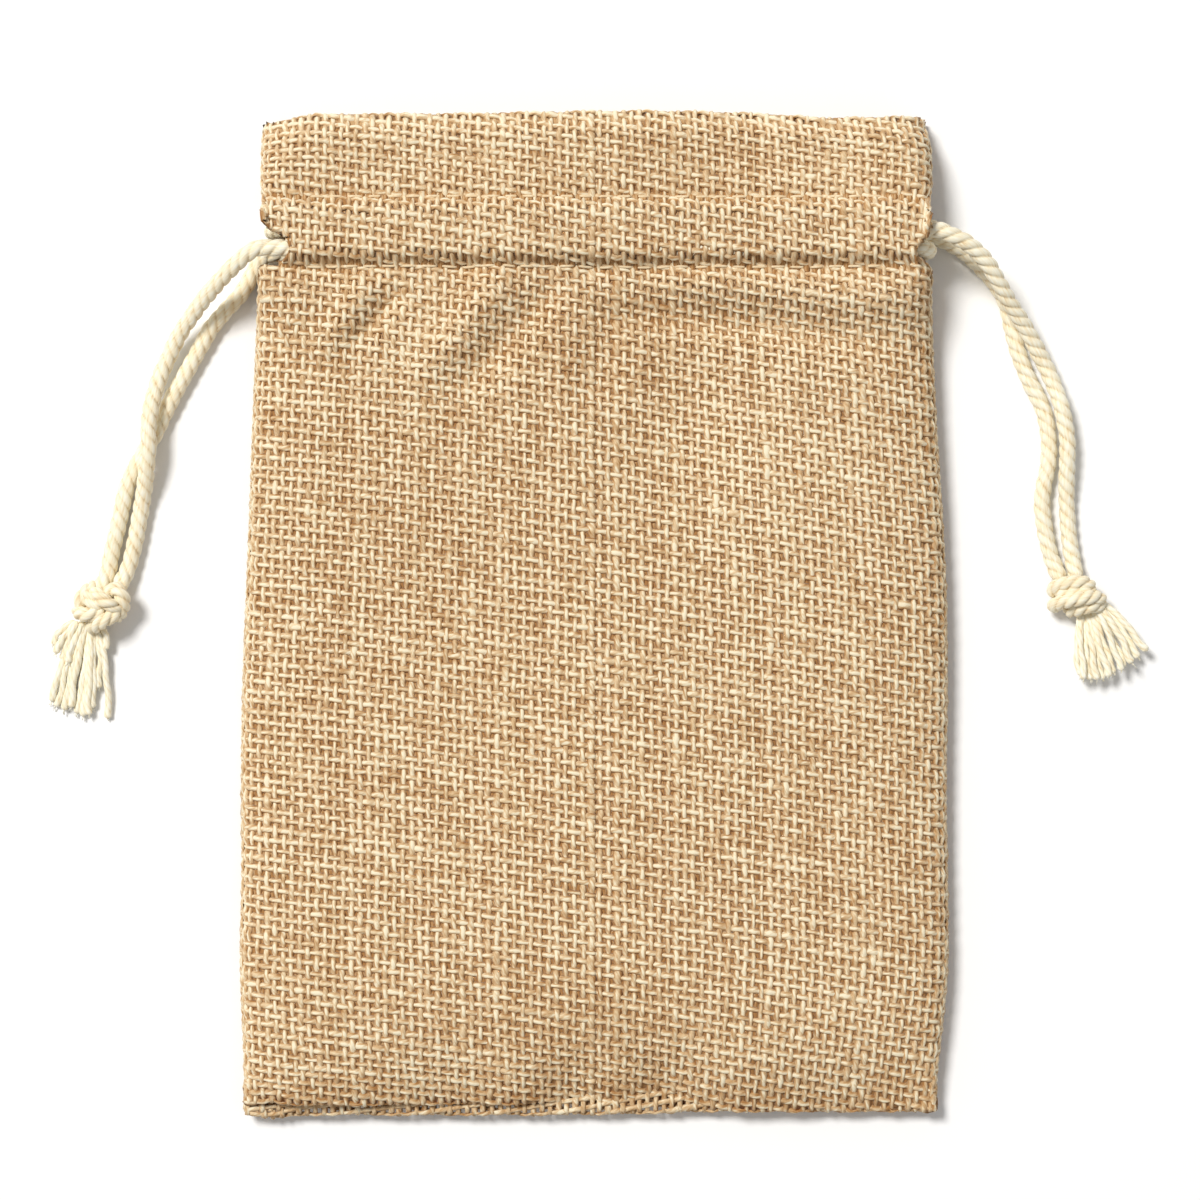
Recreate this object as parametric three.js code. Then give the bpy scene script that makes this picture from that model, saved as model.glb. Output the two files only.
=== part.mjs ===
// A drawstring gift pouch of plain-weave cloth, lying empty on its back.
// Millimetres, +Z up, mouth towards +Y. The origin is the middle of the pouch, on the surface
// that it lies on. Two twisted cords run through one channel each way round the neck: the left
// cord enters and leaves at the left slit and turns back at the right one, and the right cord
// mirrors it. Both ends of each cord are tied in one knot with a frayed tassel.
import * as THREE from 'three';

// Driving dimensions.
const BELLY_WIDTH = 98.8;
const MOUTH_WIDTH = 94.2;
const LENGTH = 139.6;
const CLOTH = 0.7; // thickness of one layer of cloth
const GAP = 0.3; // between pieces that touch
const HEADER = 12.3; // from the mouth's edge to the upper stitch row
const CHANNEL = 9; // between the two stitch rows
const HEM_BELOW = 1.5; // of the hem, under the lower stitch row
const NECK_HEIGHT = 7.2; // hollow between the hems at their stitch rows
const BELLY_RISE = 6.2; // of the front panel over its own edge, at the belly
const SEAM_HEIGHT = 2.2; // hollow between the panels' edges, for the seam
const SLIT_DEPTH = 5; // of the slits that the cords come out of
const SEAM_ALLOWANCE = 7;
const CORD_DIAMETER = 2.4;
const LEFT_CORD_Y = 50.7;
const RIGHT_CORD_Y = 53.4;
const CORD_EXIT = 44.4; // where a loop's strands end and its tails begin, from the middle
const TAIL_START = 46.4;
const TURN_REACH = 3.8; // of a loop's turn past the channel's end
const THREAD_DIAMETER = 0.5;
const CORD_SIDES = 8;

// Places that follow from them.
const MOUTH_Y = LENGTH / 2;
const BOTTOM_Y = -LENGTH / 2;
const UPPER_ROW_Y = MOUTH_Y - HEADER;
const LOWER_ROW_Y = UPPER_ROW_Y - CHANNEL;
const HEM_END_Y = LOWER_ROW_Y - HEM_BELOW;
const EDGE_Z = CLOTH + SEAM_HEIGHT; // underside of the front panel's edge
const LAYER = CLOTH + GAP;
const CORD_ROOM = CORD_DIAMETER + 2 * GAP; // between a panel and its hem in the channel
const BACK_STRAND_Z = CLOTH + CORD_ROOM / 2;
const NECK_LOW_Z = LAYER + CLOTH; // top of the back hem at its rows
const NECK_HIGH_Z = NECK_LOW_Z + NECK_HEIGHT; // underside of the front hem
const FRONT_STRAND_Z = NECK_HIGH_Z + CLOTH + CORD_ROOM / 2;
const CHANNEL_PANEL_Z = FRONT_STRAND_Z + CORD_ROOM / 2; // underside of the front panel there
const ROW_PANEL_Z = NECK_HIGH_Z + LAYER; // underside of the front panel at a stitch row
const CHANNEL_RAMP = 1.3; // over which the cloth rises from a stitch row to the channel
const CHANNEL_END = MOUTH_WIDTH / 2 - SLIT_DEPTH + 0.2;
const HEM_HALF_WIDTH = CHANNEL_END;

const linen = new THREE.MeshStandardMaterial({ color: 0xd0b68f, roughness: 0.95 });
const linenInside = new THREE.MeshStandardMaterial({ color: 0xb3946a, roughness: 0.97 });
const thread = new THREE.MeshStandardMaterial({ color: 0xe2c79b, roughness: 0.9 });
const cotton = new THREE.MeshStandardMaterial({ color: 0xf4e8cc, roughness: 0.92 });

const clamp01 = (t) => Math.min(Math.max(t, 0), 1);
const smooth = (t) => THREE.MathUtils.smoothstep(t, 0, 1);

// Half the pouch's width at a height along it: it narrows a little towards the mouth.
function halfWidth(y) {
  return (BELLY_WIDTH - (BELLY_WIDTH - MOUTH_WIDTH) * smooth((y + 15) / 75)) / 2;
}

// The same, cut in at the slits.
function slitHalfWidth(y) {
  const intoSlit = Math.min(y - LOWER_ROW_Y, UPPER_ROW_Y - y);
  return intoSlit > 0.4 ? CHANNEL_END : halfWidth(y);
}

// 1 at the middle, 0 at the side edge, and blunter the higher the power.
const arch = (u, power) => (1 - Math.min(Math.abs(u), 1) ** power) ** (1 / power);

// 1 in the channel, 0 at its stitch rows and beyond.
function channelRise(y) {
  const intoChannel = Math.min(y - LOWER_ROW_Y, UPPER_ROW_Y - y);
  return clamp01(intoChannel / CHANNEL_RAMP);
}

// How far out from the middle the front panel stays level, as a share of its half width: out to
// the slits at the neck and in the header, and less and less down the belly.
const NECK_LEVEL = 0.9;

// Underside of the front panel.
function frontUnderside(x, y) {
  const towardsNeck = smooth((y + 5) / (HEM_END_Y + 5));
  const level = NECK_LEVEL * towardsNeck ** 2;
  const pastLevel = clamp01((Math.abs(x) / halfWidth(y) - level) / (1 - level));
  const rise = BELLY_RISE + (ROW_PANEL_Z - EDGE_Z - BELLY_RISE) * towardsNeck;
  const towardsBottom = clamp01((-20 - y) / (-20 - BOTTOM_Y));
  const bottomFall = (1 - towardsBottom ** 3) ** 0.4;
  const belly = EDGE_Z + rise * bottomFall * arch(pastLevel, 2.5);
  return belly + (CHANNEL_PANEL_Z - belly) * channelRise(y);
}

// Underside of the back hem: it rises over the cords in the channel.
const backHemUnderside = (x, y) => LAYER + (CORD_ROOM - GAP) * channelRise(y);

// A sheet of cloth: columns are places across it from -1 to 1, rows are places along it.
function sheet(columns, rows, half, underside, thickness = CLOTH) {
  const across = columns.length - 1;
  const along = rows.length - 1;
  const geometry = new THREE.BoxGeometry(across, along, thickness, across, along, 1);
  const points = geometry.attributes.position;
  for (let i = 0; i < points.count; i += 1) {
    const y = rows[Math.round(points.getY(i) + along / 2)];
    const x = columns[Math.round(points.getX(i) + across / 2)] * half(y);
    const z = underside(x, y) + (points.getZ(i) > 0 ? thickness : 0);
    points.setXYZ(i, x, y, z);
  }
  return geometry;
}

// A flat band of seam allowance between two edges that follow the pouch's side.
function sideBand(side, rows, inset, width) {
  const across = (edge, y) => side * (halfWidth(y) - inset - (edge > 0 ? 0 : width));
  const geometry = new THREE.BoxGeometry(1, rows.length - 1, 2 * CLOTH, 1, rows.length - 1, 1);
  const points = geometry.attributes.position;
  for (let i = 0; i < points.count; i += 1) {
    const y = rows[Math.round(points.getY(i) + (rows.length - 1) / 2)];
    const z = LAYER + CLOTH + points.getZ(i);
    points.setXYZ(i, across(side * points.getX(i), y), y, z);
  }
  return geometry;
}

// A tube of cord or thread along a curve.
function tube(curve, diameter, steps, sides = CORD_SIDES) {
  const section = new THREE.Shape();
  for (let i = 0; i < sides; i += 1) {
    const angle = ((i + 0.5) / sides) * 2 * Math.PI;
    const place = [(diameter / 2) * Math.cos(angle), (diameter / 2) * Math.sin(angle)];
    if (i === 0) section.moveTo(...place);
    else section.lineTo(...place);
  }
  section.closePath();
  return new THREE.ExtrudeGeometry(section, { steps, extrudePath: curve });
}

function named(name, geometry, material) {
  const mesh = new THREE.Mesh(geometry, material);
  mesh.name = name;
  return mesh;
}

const threadLine = (from, to) =>
  tube(new THREE.LineCurve3(new THREE.Vector3(...from), new THREE.Vector3(...to)),
    THREAD_DIAMETER, 1, 6);

// The cloth: two panels and the two hems that are turned in at the mouth.
function cloth() {
  const pouch = new THREE.Group();
  const columns = [-1, -0.97, -NECK_LEVEL, -0.8, -0.55, -0.2, 0.2, 0.55, 0.8, NECK_LEVEL, 0.97, 1];
  const channelRows = [
    LOWER_ROW_Y, LOWER_ROW_Y + 0.5, LOWER_ROW_Y + CHANNEL_RAMP,
    UPPER_ROW_Y - CHANNEL_RAMP, UPPER_ROW_Y - 0.5, UPPER_ROW_Y,
  ];
  const bodyRows = [
    BOTTOM_Y, -69, -67.6, -65.5, -62, -56, -46, -32, -18, -4, 10, 22, 32, 40, 45, HEM_END_Y,
  ];
  const headerRows = [UPPER_ROW_Y + 2, UPPER_ROW_Y + 6, MOUTH_Y];
  const frontRows = [...bodyRows, ...channelRows, ...headerRows];
  pouch.add(named('front_panel',
    sheet(columns, frontRows, slitHalfWidth, frontUnderside), linen));
  pouch.add(named('front_hem',
    sheet([-1, 1], [HEM_END_Y, MOUTH_Y], () => HEM_HALF_WIDTH, () => NECK_HIGH_Z), linenInside));
  pouch.add(named('back_hem',
    sheet([-1, 1], [HEM_END_Y, ...channelRows, MOUTH_Y], () => HEM_HALF_WIDTH,
      backHemUnderside), linenInside));
  pouch.add(backPanel(frontRows));
  return pouch;
}

// The back panel lies flat, so it is one outline with a thickness.
function backPanel(rows) {
  const outline = new THREE.Shape();
  rows.forEach((y, i) => {
    if (i === 0) outline.moveTo(slitHalfWidth(y), y);
    else outline.lineTo(slitHalfWidth(y), y);
  });
  [...rows].reverse().forEach((y) => outline.lineTo(-slitHalfWidth(y), y));
  outline.closePath();
  return named('back_panel',
    new THREE.ExtrudeGeometry(outline, { depth: CLOTH, bevelEnabled: false }), linen);
}

// The seams inside: allowances turned in along the sides and bottom, and their threads.
function seams() {
  const group = new THREE.Group();
  const sideRows = [-68, -18, 3, 22, 36, HEM_END_Y - GAP];
  const headerRows = [UPPER_ROW_Y + GAP, MOUTH_Y - GAP];
  const threadZ = CLOTH + SEAM_HEIGHT / 2;
  const seamEdge = 1.6; // from the pouch's edge to its seam allowance
  for (const [side, name] of [[-1, 'left'], [1, 'right']]) {
    group.add(named(`${name}_side_seam`,
      sideBand(side, sideRows, seamEdge, SEAM_ALLOWANCE), linenInside));
    const headerWidth = MOUTH_WIDTH / 2 - seamEdge - HEM_HALF_WIDTH - GAP;
    group.add(named(`${name}_header_seam`,
      sideBand(side, headerRows, seamEdge, headerWidth), linenInside));
    const line = sideRows.map((y) => new THREE.Vector3(
      side * (halfWidth(y) - seamEdge / 2), y, threadZ));
    group.add(named(`${name}_seam_thread`,
      tube(new THREE.CatmullRomCurve3(line), THREAD_DIAMETER, 12, 6), thread));
  }
  const bottomHalf = BELLY_WIDTH / 2 - seamEdge - SEAM_ALLOWANCE - 2 * GAP;
  const bottom = new THREE.BoxGeometry(2 * bottomHalf, SEAM_ALLOWANCE, 2 * CLOTH);
  bottom.translate(0, BOTTOM_Y + seamEdge + SEAM_ALLOWANCE / 2, LAYER + CLOTH);
  group.add(named('bottom_seam', bottom, linenInside));
  const threadY = BOTTOM_Y + seamEdge / 2;
  group.add(named('bottom_seam_thread',
    threadLine([-BELLY_WIDTH / 2 + 2, threadY, threadZ], [BELLY_WIDTH / 2 - 2, threadY, threadZ]),
    thread));
  return group;
}

// The stitch rows that bound the channel, on the faces that show them.
function stitching() {
  const group = new THREE.Group();
  const half = CHANNEL_END - 1;
  const onFront = ROW_PANEL_Z + CLOTH + GAP + THREAD_DIAMETER / 2;
  const onBackHem = NECK_LOW_Z + GAP + THREAD_DIAMETER / 2;
  for (const [row, y] of [['upper', UPPER_ROW_Y], ['lower', LOWER_ROW_Y]]) {
    const inset = row === 'upper' ? GAP : -GAP;
    group.add(named(`front_${row}_stitching`,
      threadLine([-half, y + inset, onFront], [half, y + inset, onFront]), thread));
    group.add(named(`back_${row}_stitching`,
      threadLine([-half, y + inset, onBackHem], [half, y + inset, onBackHem]), thread));
  }
  return group;
}

// A cord's doubled run: a strand in the front channel, the turn at the far slit, and a strand
// back in the back channel. The exit is on the given side.
function cordLoop(side, y) {
  const path = new THREE.CurvePath();
  const exit = side * CORD_EXIT;
  const turn = -side * CHANNEL_END;
  const tip = turn - side * TURN_REACH;
  const middle = (FRONT_STRAND_Z + BACK_STRAND_Z) / 2;
  const at = (x, z) => new THREE.Vector3(x, y, z);
  const bulge = 0.55; // how far a quarter turn's handles reach, as a share of its radius
  const up = (FRONT_STRAND_Z - middle) * bulge;
  const out = turn - side * TURN_REACH * bulge;
  path.add(new THREE.LineCurve3(at(exit, FRONT_STRAND_Z), at(turn, FRONT_STRAND_Z)));
  path.add(new THREE.CubicBezierCurve3(at(turn, FRONT_STRAND_Z), at(out, FRONT_STRAND_Z),
    at(tip, middle + up), at(tip, middle)));
  path.add(new THREE.CubicBezierCurve3(at(tip, middle), at(tip, middle - up),
    at(out, BACK_STRAND_Z), at(turn, BACK_STRAND_Z)));
  path.add(new THREE.LineCurve3(at(turn, BACK_STRAND_Z), at(exit, BACK_STRAND_Z)));
  return tube(path, CORD_DIAMETER, 60);
}

// The free tails, from their slit down to the surface and on to the knot.
const LEFT_UPPER_TAIL = [
  [-TAIL_START, LEFT_CORD_Y, FRONT_STRAND_Z], [-47.6, 50.3, 11.0], [-48.8, 49.5, 10.6],
  [-50.6, 48.0, 9.6], [-52.4, 46.4, 8.2], [-54.0, 44.9, 6.8], [-55.5, 43.3, 5.5],
  [-56.8, 41.7, 4.5], [-58.1, 40.0, 3.7], [-59.2, 38.2, 3.1], [-60.2, 36.1, 2.8],
  [-61.2, 33.9, 2.9], [-62.0, 31.4, 3.3], [-62.6, 28.7, 3.8], [-62.9, 26.0, 4.1],
  [-62.9, 23.4, 4.0], [-63.2, 20.8, 3.4], [-63.6, 18.2, 2.4], [-64.1, 15.6, 1.6],
  [-64.6, 12.9, 1.4], [-65.2, 9.8, 1.4], [-66.1, 6.4, 1.5],
];
const LEFT_LOWER_TAIL = [
  [-TAIL_START, LEFT_CORD_Y, BACK_STRAND_Z], [-47.1, 50.1, 2.1], [-47.7, 49.3, 1.9],
  [-48.3, 48.4, 1.7], [-48.9, 47.3, 1.5], [-49.5, 46.2, 1.4], [-50.4, 44.9, 1.3],
  [-51.8, 43.4, 1.3], [-53.2, 41.8, 1.3], [-54.5, 40.2, 1.3], [-55.5, 38.4, 1.3],
  [-56.5, 36.6, 1.3], [-57.5, 34.8, 1.3], [-58.6, 32.8, 1.3], [-59.6, 31.0, 1.3],
  [-60.6, 29.0, 1.3], [-61.6, 26.9, 1.3], [-62.6, 24.9, 1.3], [-63.8, 22.9, 1.3],
  [-64.9, 21.0, 1.3], [-65.8, 19.2, 1.3], [-66.5, 17.2, 1.3], [-67.0, 14.9, 1.3],
  [-67.5, 12.5, 1.3], [-68.1, 10.0, 1.3], [-68.6, 7.8, 1.3], [-69.0, 5.7, 1.4],
];
const RIGHT_UPPER_TAIL = [
  [TAIL_START, RIGHT_CORD_Y, FRONT_STRAND_Z], [47.8, 53.1, 11.0], [49.3, 52.5, 10.8],
  [51.4, 51.5, 10.2], [53.0, 50.3, 9.5], [54.4, 48.9, 8.8], [55.6, 47.2, 8.0],
  [56.7, 45.5, 7.0], [57.7, 43.9, 6.0], [58.9, 42.3, 5.0], [60.1, 40.7, 4.1],
  [61.3, 38.8, 3.3], [62.5, 36.7, 2.5], [63.6, 34.7, 2.1], [64.6, 32.3, 2.3],
  [65.5, 29.6, 2.9], [66.1, 27.0, 2.9], [66.5, 24.2, 2.8], [66.5, 21.4, 2.6],
  [66.5, 18.6, 2.0], [66.6, 15.6, 1.4], [66.8, 12.2, 1.3], [67.1, 9.4, 1.4],
  [67.4, 7.6, 1.5],
];
const RIGHT_LOWER_TAIL = [
  [TAIL_START, RIGHT_CORD_Y, BACK_STRAND_Z], [47.8, 53.1, 2.0], [49.3, 52.6, 1.7],
  [50.8, 51.9, 1.4], [52.3, 50.9, 1.3], [53.7, 49.7, 1.3], [55.0, 48.4, 1.3],
  [56.2, 47.0, 1.3], [57.3, 45.4, 1.3], [58.1, 43.5, 1.3], [58.6, 41.4, 1.3],
  [59.1, 39.2, 1.3], [59.7, 37.0, 1.3], [60.5, 34.8, 1.3], [61.4, 32.7, 1.3],
  [62.5, 30.6, 1.3], [63.4, 28.4, 1.3], [63.9, 25.9, 1.3], [64.1, 23.2, 1.3],
  [63.9, 20.6, 1.3], [63.4, 18.2, 1.3], [63.1, 15.8, 1.3], [63.3, 13.4, 1.3],
  [63.7, 10.8, 1.3], [64.2, 8.6, 1.4], [64.6, 7.4, 1.4],
];

function tail(route) {
  const curve = new THREE.CatmullRomCurve3(route.map((place) => new THREE.Vector3(...place)));
  return tube(curve, CORD_DIAMETER, 18);
}

// A knot is the outer shape of the tied cords, lying on the surface.
function knot([x, y], [halfLong, halfWide, halfHigh], turned) {
  const geometry = new THREE.SphereGeometry(1, 14, 9);
  geometry.rotateX(Math.PI / 2);
  geometry.scale(halfLong, halfWide, halfHigh);
  geometry.rotateZ(turned);
  geometry.translate(x, y, halfHigh + 0.05);
  return geometry;
}

// A tassel is the flat fan that the frayed ends fill.
function tassel(outline, height) {
  const fan = new THREE.Shape(outline.map((place) => new THREE.Vector2(...place)));
  const geometry = new THREE.ExtrudeGeometry(fan, { depth: height, bevelEnabled: false });
  geometry.translate(0, 0, 0.05);
  return geometry;
}

function cords() {
  const group = new THREE.Group();
  group.add(named('left_cord_loop', cordLoop(-1, LEFT_CORD_Y), cotton));
  group.add(named('left_upper_tail', tail(LEFT_UPPER_TAIL), cotton));
  group.add(named('left_lower_tail', tail(LEFT_LOWER_TAIL), cotton));
  group.add(named('left_knot', knot([-69.6, 0.8], [4.2, 3.4, 3.0], 0), cotton));
  group.add(named('left_tassel', tassel(
    [[-72.6, -3.0], [-75.8, -7.4], [-77.6, -12.9], [-73.0, -14.6], [-68.0, -15.0],
      [-68.4, -8.0], [-69.2, -3.2]], 2.6), cotton));
  group.add(named('right_cord_loop', cordLoop(1, RIGHT_CORD_Y), cotton));
  group.add(named('right_upper_tail', tail(RIGHT_UPPER_TAIL), cotton));
  group.add(named('right_lower_tail', tail(RIGHT_LOWER_TAIL), cotton));
  group.add(named('right_knot', knot([68.0, 2.6], [4.1, 2.9, 2.8], -Math.PI / 6), cotton));
  group.add(named('right_tassel', tassel(
    [[68.4, -1.3], [67.8, -4.8], [68.0, -8.9], [73.0, -7.4], [77.8, -4.7],
      [75.6, -2.0], [72.6, -0.6]].reverse(), 2.6), cotton));
  return group;
}

const model = new THREE.Group();
model.add(cloth(), seams(), stitching(), cords());

export default model;
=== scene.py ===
"""A drawstring gift pouch of slubby plain-weave cloth, lying on its back on a white floor.

The cloth is woven yarn by yarn over the surface of each panel, which runs on round the mouth's
fold as the hem and round the side and bottom edges as the seam allowances.
"""

import math

import bpy
import numpy as np
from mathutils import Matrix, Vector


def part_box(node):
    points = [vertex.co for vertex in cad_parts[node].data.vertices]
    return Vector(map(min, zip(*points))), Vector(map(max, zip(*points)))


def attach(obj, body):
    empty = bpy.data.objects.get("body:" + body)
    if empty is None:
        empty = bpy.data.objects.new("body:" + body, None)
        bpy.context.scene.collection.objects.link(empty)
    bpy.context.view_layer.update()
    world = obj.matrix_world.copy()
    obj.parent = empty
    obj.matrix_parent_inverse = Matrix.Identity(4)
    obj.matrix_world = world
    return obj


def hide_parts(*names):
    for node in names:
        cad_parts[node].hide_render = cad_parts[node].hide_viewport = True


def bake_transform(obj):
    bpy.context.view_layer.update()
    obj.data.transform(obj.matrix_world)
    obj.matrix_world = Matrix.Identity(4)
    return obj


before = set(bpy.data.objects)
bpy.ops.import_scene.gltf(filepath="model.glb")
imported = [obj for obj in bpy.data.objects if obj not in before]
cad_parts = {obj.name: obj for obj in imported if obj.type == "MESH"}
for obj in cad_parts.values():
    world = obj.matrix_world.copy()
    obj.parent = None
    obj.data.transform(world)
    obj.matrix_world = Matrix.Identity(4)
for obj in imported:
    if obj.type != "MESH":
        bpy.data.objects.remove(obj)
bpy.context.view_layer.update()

MM = 0.001
TAU = 2 * math.pi
random = np.random.default_rng(7)

# ---------------------------------------------------------------- places, from the frame
def middle_of(node, axis):
    low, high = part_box(node)
    return (low[axis] + high[axis]) / 2


panel_low, panel_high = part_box("front_panel")
TOP_Y, BOTTOM_Y = panel_high[1], panel_low[1]
LENGTH = TOP_Y - BOTTOM_Y
BELLY_HALF = panel_high[0]
UPPER_ROW_Y = middle_of("front_upper_stitching", 1)
LOWER_ROW_Y = middle_of("front_lower_stitching", 1)
LEFT_CORD_Y = middle_of("left_cord_loop", 1)
RIGHT_CORD_Y = middle_of("right_cord_loop", 1)
CORD_RADIUS = 1.2 * MM
loop_low, loop_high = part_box("left_cord_loop")
BACK_STRAND_Z = loop_low[2] + CORD_RADIUS
FRONT_STRAND_Z = loop_high[2] - CORD_RADIUS

# ---------------------------------------------------------------- camera, light and floor
VIEW_WIDTH = 0.168
LENS = 100
SENSOR = 36
LOOKED_AT = (0.6 * MM, 1.9 * MM, 6 * MM)


def make_camera():
    data = bpy.data.cameras.new("camera")
    data.lens = LENS
    data.sensor_width = SENSOR
    camera = bpy.data.objects.new("camera", data)
    x, y, z = LOOKED_AT
    camera.location = (x, y, z + VIEW_WIDTH * LENS / SENSOR)
    bpy.context.collection.objects.link(camera)
    bpy.context.scene.camera = camera


def make_area_light(name, place, size, power, colour):
    data = bpy.data.lights.new(name, "AREA")
    data.shape = "DISK"
    data.size = size
    data.energy = power
    data.color = colour
    light = bpy.data.objects.new(name, data)
    light.location = place
    away = np.array(place) / np.linalg.norm(place)
    light.rotation_euler = (0, math.acos(away[2]), math.atan2(away[1], away[0]))
    bpy.context.collection.objects.link(light)


def make_world(strength):
    world = bpy.data.worlds.new("studio")
    world.use_nodes = True
    background = world.node_tree.nodes["Background"]
    background.inputs["Color"].default_value = (1, 1, 1, 1)
    background.inputs["Strength"].default_value = strength
    bpy.context.scene.world = world


def make_floor():
    half = 3.0
    mesh = bpy.data.meshes.new("floor")
    corners = [(-half, -half, 0), (half, -half, 0), (half, half, 0), (-half, half, 0)]
    mesh.from_pydata(corners, [], [(0, 1, 2, 3)])
    floor = bpy.data.objects.new("floor", mesh)
    bpy.context.collection.objects.link(floor)
    paper = bpy.data.materials.new("floor_paper")
    paper.use_nodes = True
    shader = paper.node_tree.nodes["Principled BSDF"]
    shader.inputs["Base Color"].default_value = (0.95, 0.95, 0.95, 1)
    shader.inputs["Roughness"].default_value = 0.9
    shader.inputs["Specular IOR Level"].default_value = 0.1
    mesh.materials.append(paper)


make_camera()
make_world(0.37)
make_area_light("key", (-1.12, 1.17, 2.48), 0.85, 80.0, (1.0, 0.985, 0.96))
make_floor()
bpy.context.scene.view_settings.view_transform = "Standard"


# ---------------------------------------------------------------- materials
def link(tree, a, a_out, b, b_in):
    tree.links.new(a.outputs[a_out], b.inputs[b_in])


def yarn_material(name, stops, fibre_scale, mottle, bump, roughness, sheen):
    """Spun yarn. The attribute tint, 0 to 1, picks a colour on the ramp, and the attribute
    fibre is a place inside the yarn with its length squeezed, so noise draws its fibres."""
    material = bpy.data.materials.new(name)
    material.use_nodes = True
    tree = material.node_tree
    shader = tree.nodes["Principled BSDF"]
    shader.inputs["Roughness"].default_value = roughness
    shader.inputs["Specular IOR Level"].default_value = 0.25
    shader.inputs["Sheen Weight"].default_value = sheen
    shader.inputs["Sheen Roughness"].default_value = 0.5
    tint = tree.nodes.new("ShaderNodeAttribute")
    tint.attribute_name = "tint"
    fibre = tree.nodes.new("ShaderNodeAttribute")
    fibre.attribute_name = "fibre"
    noise = tree.nodes.new("ShaderNodeTexNoise")
    noise.inputs["Scale"].default_value = fibre_scale
    noise.inputs["Detail"].default_value = 3.0
    link(tree, fibre, "Vector", noise, "Vector")
    shifted = tree.nodes.new("ShaderNodeMath")
    shifted.operation = "MULTIPLY_ADD"
    shifted.inputs[1].default_value = mottle
    shifted.inputs[2].default_value = -mottle / 2
    link(tree, noise, "Fac", shifted, 0)
    total = tree.nodes.new("ShaderNodeMath")
    total.operation = "ADD"
    total.use_clamp = True
    link(tree, shifted, "Value", total, 0)
    link(tree, tint, "Fac", total, 1)
    ramp = tree.nodes.new("ShaderNodeValToRGB")
    while len(ramp.color_ramp.elements) < len(stops):
        ramp.color_ramp.elements.new(0.5)
    for element, (place, colour) in zip(ramp.color_ramp.elements, stops):
        element.position = place
        element.color = (*colour, 1)
    link(tree, total, "Value", ramp, "Fac")
    link(tree, ramp, "Color", shader, "Base Color")
    relief = tree.nodes.new("ShaderNodeBump")
    relief.inputs["Strength"].default_value = bump
    relief.inputs["Distance"].default_value = 0.1 * MM
    link(tree, noise, "Fac", relief, "Height")
    link(tree, relief, "Normal", shader, "Normal")
    return material


CLOTH_STOPS = [
    (0.0, (0.37, 0.18, 0.06)),
    (0.3, (0.52, 0.32, 0.15)),
    (0.6, (0.65, 0.46, 0.26)),
    (0.85, (0.77, 0.61, 0.39)),
    (1.0, (0.87, 0.77, 0.56)),
]
CORD_STOPS = [
    (0.0, (0.66, 0.47, 0.25)),
    (0.35, (0.87, 0.74, 0.50)),
    (0.7, (0.94, 0.88, 0.69)),
    (1.0, (0.97, 0.94, 0.82)),
]
cloth_yarn = yarn_material("cloth_yarn", CLOTH_STOPS, 1.9, 2.4, 0.5, 0.88, 0.1)
sewing_thread = yarn_material("sewing_thread", CLOTH_STOPS, 2.2, 0.5, 0.3, 0.8, 0.1)
cord_cotton = yarn_material("cord_cotton", CORD_STOPS, 1.3, 1.5, 0.7, 0.9, 0.2)


# ---------------------------------------------------------------- meshes of tubes
class Tubes:
    """Collects closed tubes and makes one mesh of them."""

    def __init__(self):
        self.points = []
        self.faces = []
        self.tints = []
        self.fibres = []
        self.count = 0

    def add(self, rings, tint, fibre):
        """rings is (steps, sides, 3), tint and fibre have a value for each ring and side."""
        steps, sides, _ = rings.shape
        index = self.count + np.arange(steps * sides).reshape(steps, sides)
        turned = np.roll(index, -1, axis=1)
        quads = np.stack([index[:-1], turned[:-1], turned[1:], index[1:]], axis=-1)
        self.faces.append((quads.reshape(-1, 4), index[0, ::-1], index[-1]))
        self.points.append(rings.reshape(-1, 3))
        self.tints.append(np.broadcast_to(tint, (steps, sides)).reshape(-1))
        self.fibres.append(fibre.reshape(-1, 3))
        self.count += steps * sides

    def make(self, name, material):
        corners = []
        sizes = []
        for quads, first_end, last_end in self.faces:
            corners += [quads.reshape(-1), first_end, last_end]
            sizes += [np.full(len(quads), 4), [len(first_end)], [len(last_end)]]
        corners = np.concatenate(corners).astype(np.int32)
        sizes = np.concatenate(sizes).astype(np.int32)
        mesh = bpy.data.meshes.new(name)
        mesh.vertices.add(self.count)
        mesh.vertices.foreach_set("co", np.concatenate(self.points).astype(np.float32).ravel())
        mesh.loops.add(len(corners))
        mesh.loops.foreach_set("vertex_index", corners)
        mesh.polygons.add(len(sizes))
        starts = np.concatenate([[0], np.cumsum(sizes)[:-1]]).astype(np.int32)
        mesh.polygons.foreach_set("loop_start", starts)
        mesh.update(calc_edges=True)
        mesh.polygons.foreach_set("use_smooth", np.ones(len(sizes), bool))
        tint = mesh.attributes.new("tint", "FLOAT", "POINT")
        tint.data.foreach_set("value", np.concatenate(self.tints).astype(np.float32))
        fibre = mesh.attributes.new("fibre", "FLOAT_VECTOR", "POINT")
        fibre.data.foreach_set("vector", np.concatenate(self.fibres).astype(np.float32).ravel())
        mesh.materials.append(material)
        piece = bpy.data.objects.new(name, mesh)
        bpy.context.collection.objects.link(piece)
        return piece


def unit(vectors):
    return vectors / np.maximum(np.linalg.norm(vectors, axis=-1, keepdims=True), 1e-12)


def run_length(line):
    """Distance along a line of points."""
    steps = np.linalg.norm(np.diff(line, axis=0), axis=1)
    return np.concatenate([[0], np.cumsum(steps)])


def oval(sides):
    """Corners of an oval section, as shares of its half width and half height."""
    angle = (np.arange(sides) + 0.5) / sides * TAU
    return np.stack([np.cos(angle), np.sin(angle)], axis=1)


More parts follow.
